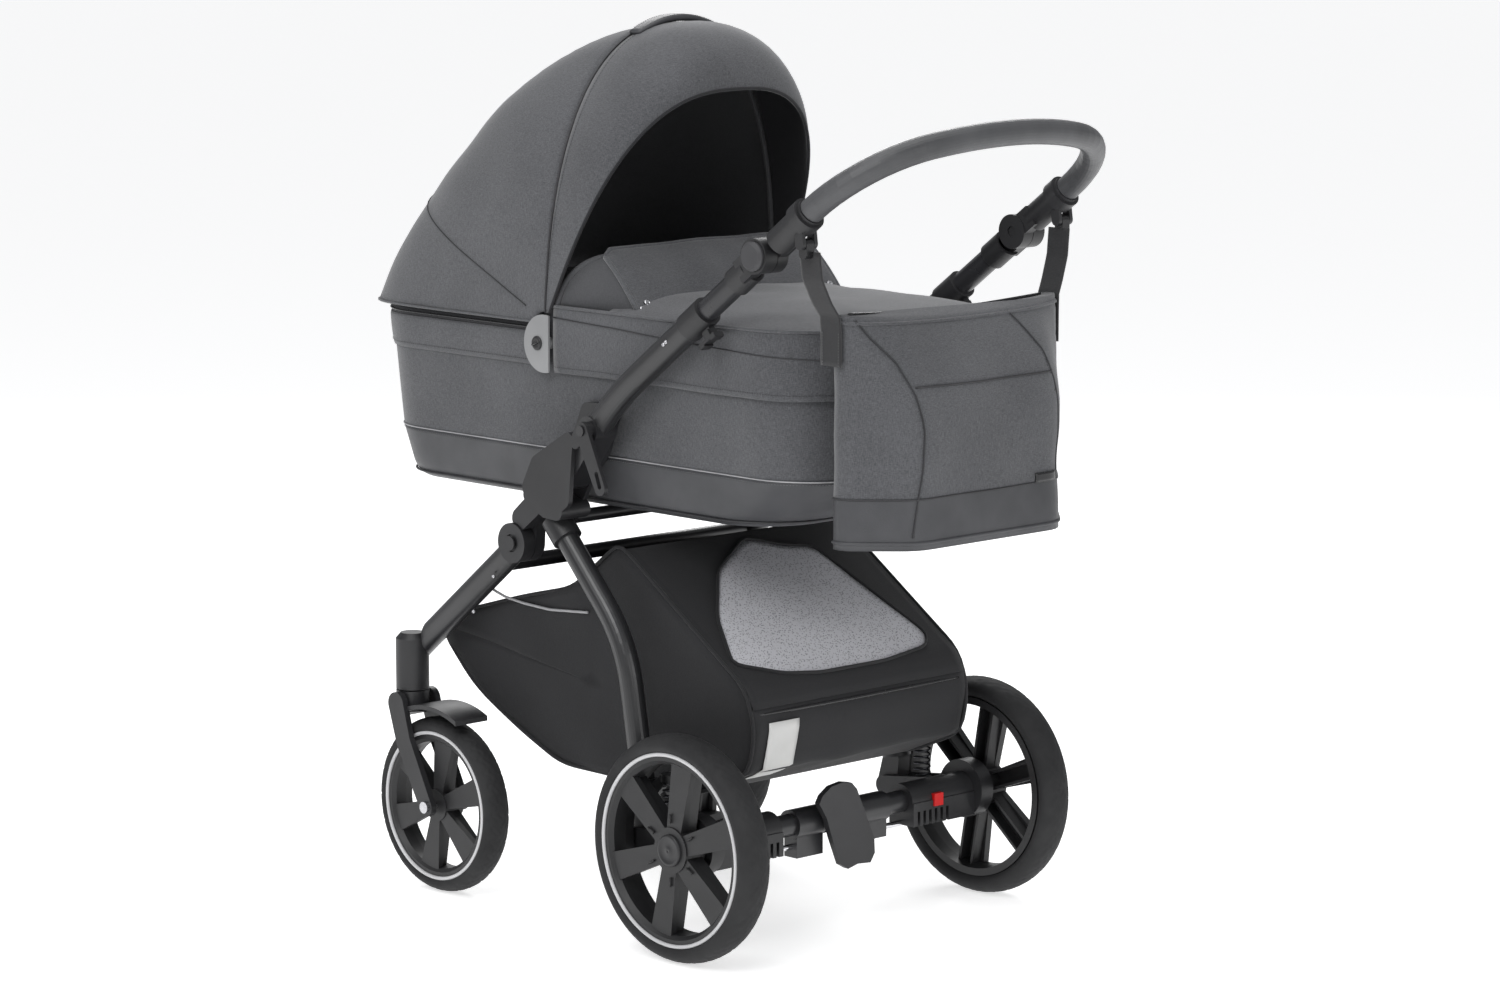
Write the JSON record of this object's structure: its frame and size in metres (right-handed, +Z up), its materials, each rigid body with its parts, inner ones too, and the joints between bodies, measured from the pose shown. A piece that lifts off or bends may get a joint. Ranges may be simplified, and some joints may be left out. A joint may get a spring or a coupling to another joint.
{
  "type": "baby stroller",
  "caption": "Folding pram: carrycot with fan hood and apron on a sprung four-wheel chassis, with a tilting handle, basket and hanging changing bag.",
  "frame": {"origin": "floor under the centre of the whole box", "axes": "+X is the stroller's left, the handle is at +Y, the head end and the casters are at -Y, +Z is up"},
  "size_m": [0.6132, 1.077, 1.2],
  "materials": {
    "frame_paint": "satin black powder coat",
    "stem_anodised": "black anodised telescopic tube",
    "plastic_black": "finely grained moulded black",
    "button_soft": "soft-touch button with a dotted oval",
    "handle_core": "black tube",
    "grip_leatherette": "dark grey stitched leatherette",
    "axle_steel": "zinc plated",
    "chrome_rod": "bright",
    "spring_steel": "oiled spring steel",
    "rim_plastic": "satin black moulded rim",
    "tyre": "black foam-filled tread",
    "ring_grey": "light grey trim ring",
    "button_red": "red release button",
    "basket_cloth": "black coated polyester with grey piping and mesh",
    "cot_melange": "charcoal melange weave with leatherette bands",
    "hood_melange": "charcoal melange weave",
    "mattress_cotton": "white cotton",
    "pivot_grey": "grey hood pivot plate",
    "strap_leatherette": "dark grey stitched leatherette",
    "webbing": "black polyester webbing",
    "buckle_black": "black moulded buckle",
    "bag_melange": "charcoal melange weave with leatherette bands"
  },
  "bodies": {
    "chassis": {"hub_housing_left": "plastic_black", "hub_housing_right": "plastic_black", "cross_tube": "frame_paint", "rear_leg_left": "frame_paint", "rear_leg_right": "frame_paint", "leg_knuckles": "plastic_black", "basket": "basket_cloth", "suspension_springs": "spring_steel"},
    "push_frame": {"push_tube_left": "frame_paint", "push_tube_right": "frame_paint", "slide_collars": "plastic_black"},
    "fold_levers": {"fold_levers": "plastic_black"},
    "collar_levers": {"collar_levers": "plastic_black"},
    "handle_stem": {"stem_tube_left": "stem_anodised", "stem_tube_right": "stem_anodised", "handle_hinges": "plastic_black"},
    "handle": {"handle_yokes": "plastic_black", "handle_bar": "handle_core", "handle_grip": "grip_leatherette", "bag_clips": "plastic_black"},
    "hinge_button_left": {"hinge_button_left": "button_soft"},
    "hinge_button_right": {"hinge_button_right": "button_soft"},
    "bag_hanger": {"bag_buckles": "buckle_black"},
    "bag": {"bag": "bag_melange", "bag_straps": "webbing"},
    "front_frame": {"front_leg_left": "frame_paint", "front_leg_right": "frame_paint", "leg_joint_discs": "plastic_black", "front_cross_tube": "frame_paint", "caster_housings": "plastic_black"},
    "caster_left": {"caster_fork_left": "plastic_black", "front_axle_left": "axle_steel"},
    "caster_right": {"caster_fork_right": "plastic_black", "front_axle_right": "axle_steel"},
    "front_wheel_left": {"front_rim_left": "rim_plastic", "front_tyre_left": "tyre", "front_ring_left": "ring_grey"},
    "front_wheel_right": {"front_rim_right": "rim_plastic", "front_tyre_right": "tyre", "front_ring_right": "ring_grey"},
    "rear_axle": {"rear_axle_tube": "frame_paint", "axle_end_left": "plastic_black", "axle_end_right": "plastic_black", "brake_rods": "chrome_rod"},
    "brake_pedal": {"brake_pedal": "plastic_black"},
    "release_button_left": {"release_button_left": "button_red"},
    "release_button_right": {"release_button_right": "button_red"},
    "rear_wheel_left": {"rear_rim_left": "rim_plastic", "rear_tyre_left": "tyre", "rear_ring_left": "ring_grey"},
    "rear_wheel_right": {"rear_rim_right": "rim_plastic", "rear_tyre_right": "tyre", "rear_ring_right": "ring_grey"},
    "carrycot": {"carrycot_shell": "cot_melange", "mattress": "mattress_cotton", "apron": "cot_melange", "hood_plates": "pivot_grey", "hood_back": "hood_melange"},
    "hood": {"hood_visor": "hood_melange", "carry_handle": "strap_leatherette"}
  },
  "joints": [
    {"name": "frame_fold", "type": "hinge", "parent": "chassis", "child": "push_frame", "pos_m": [0, -0.05476, 0.607], "axis": [-1, 0, 0], "range_deg": [-130, 0]},
    {"name": "fold_lever_squeeze", "type": "hinge", "parent": "push_frame", "child": "fold_levers", "pos_m": [0, 0.00124, 0.671], "axis": [1, 0, 0], "range_deg": [0, 25], "stiffness_Nm_per_rad": 0.6, "springref_deg": -17.19},
    {"name": "collar_lever_squeeze", "type": "hinge", "parent": "push_frame", "child": "collar_levers", "pos_m": [0, 0.21444, 0.81445], "axis": [1, 0, 0], "range_deg": [0, 10], "stiffness_Nm_per_rad": 0.3, "springref_deg": -17.19},
    {"name": "handle_reach", "type": "slide", "parent": "push_frame", "child": "handle_stem", "axis": [0, 0.8039, 0.5948], "range_m": [-0.025, 0.055]},
    {"name": "handle_tilt", "type": "hinge", "parent": "handle_stem", "child": "handle", "pos_m": [0, 0.31524, 0.922], "axis": [1, 0, 0], "range_deg": [-40, 25]},
    {"name": "hinge_button_left_press", "type": "slide", "parent": "handle_stem", "child": "hinge_button_left", "axis": [-1, 0, 0], "range_m": [0, 0.004], "stiffness_N_per_m": 500, "springref_m": -0.002},
    {"name": "hinge_button_right_press", "type": "slide", "parent": "handle_stem", "child": "hinge_button_right", "axis": [1, 0, 0], "range_m": [0, 0.004], "stiffness_N_per_m": 500, "springref_m": -0.002},
    {"name": "bag_hang", "type": "hinge", "parent": "handle", "child": "bag_hanger", "pos_m": [0, 0.38897, 0.94134], "axis": [1, 0, 0], "range_deg": [-25, 40]},
    {"name": "bag_slide", "type": "slide", "parent": "bag_hanger", "child": "bag", "axis": [0, -1, 0], "range_m": [-0.313, 0]},
    {"name": "front_fold", "type": "hinge", "parent": "chassis", "child": "front_frame", "pos_m": [0, -0.15376, 0.503], "axis": [-1, 0, 0], "range_deg": [-25, 0]},
    {"name": "caster_left_swivel", "type": "hinge", "parent": "front_frame", "child": "caster_left", "pos_m": [0.2488, -0.37036, 0.25], "axis": [0, 0, 1], "continuous": true},
    {"name": "caster_right_swivel", "type": "hinge", "parent": "front_frame", "child": "caster_right", "pos_m": [-0.2488, -0.37036, 0.25], "axis": [0, 0, 1], "continuous": true},
    {"name": "front_wheel_left_spin", "type": "hinge", "parent": "caster_left", "child": "front_wheel_left", "pos_m": [0.2488, -0.30536, 0.1215], "axis": [1, 0, 0], "continuous": true},
    {"name": "front_wheel_right_spin", "type": "hinge", "parent": "caster_right", "child": "front_wheel_right", "pos_m": [-0.2488, -0.30536, 0.1215], "axis": [1, 0, 0], "continuous": true},
    {"name": "rear_suspension", "type": "hinge", "parent": "chassis", "child": "rear_axle", "pos_m": [0, 0.08224, 0.139], "axis": [1, 0, 0], "range_deg": [0, 5], "stiffness_Nm_per_rad": 260, "springref_deg": -6.88, "deforming": ["suspension_springs"]},
    {"name": "brake_pedal_press", "type": "hinge", "parent": "rear_axle", "child": "brake_pedal", "pos_m": [0, 0.20724, 0.15], "axis": [1, 0, 0], "range_deg": [-12, 12]},
    {"name": "release_button_left_press", "type": "slide", "parent": "rear_axle", "child": "release_button_left", "axis": [0, -1, 0], "range_m": [0, 0.004], "stiffness_N_per_m": 300, "springref_m": -0.002},
    {"name": "release_button_right_press", "type": "slide", "parent": "rear_axle", "child": "release_button_right", "axis": [0, -1, 0], "range_m": [0, 0.004], "stiffness_N_per_m": 300, "springref_m": -0.002},
    {"name": "rear_wheel_left_spin", "type": "hinge", "parent": "rear_axle", "child": "rear_wheel_left", "pos_m": [0.2813, 0.20724, 0.15], "axis": [1, 0, 0], "continuous": true},
    {"name": "rear_wheel_right_spin", "type": "hinge", "parent": "rear_axle", "child": "rear_wheel_right", "pos_m": [-0.2813, 0.20724, 0.15], "axis": [1, 0, 0], "continuous": true},
    {"name": "carrycot_lift", "type": "slide", "parent": "chassis", "child": "carrycot", "axis": [0, 0, 1], "range_m": [0, 0.08]},
    {"name": "hood_fold", "type": "hinge", "parent": "carrycot", "child": "hood", "pos_m": [0, -0.13076, 0.77], "axis": [1, 0, 0], "range_deg": [0, 60], "deforming": ["hood_back"]}
  ],
  "couplings": [
    {"joint": "front_fold", "follows": "frame_fold", "ratio": 0.1923},
    {"joint": "bag_slide", "follows": "frame_fold", "m_per_rad": 0.1375},
    {"joint": "bag_hang", "follows": "handle_tilt", "ratio": -1}
  ]
}
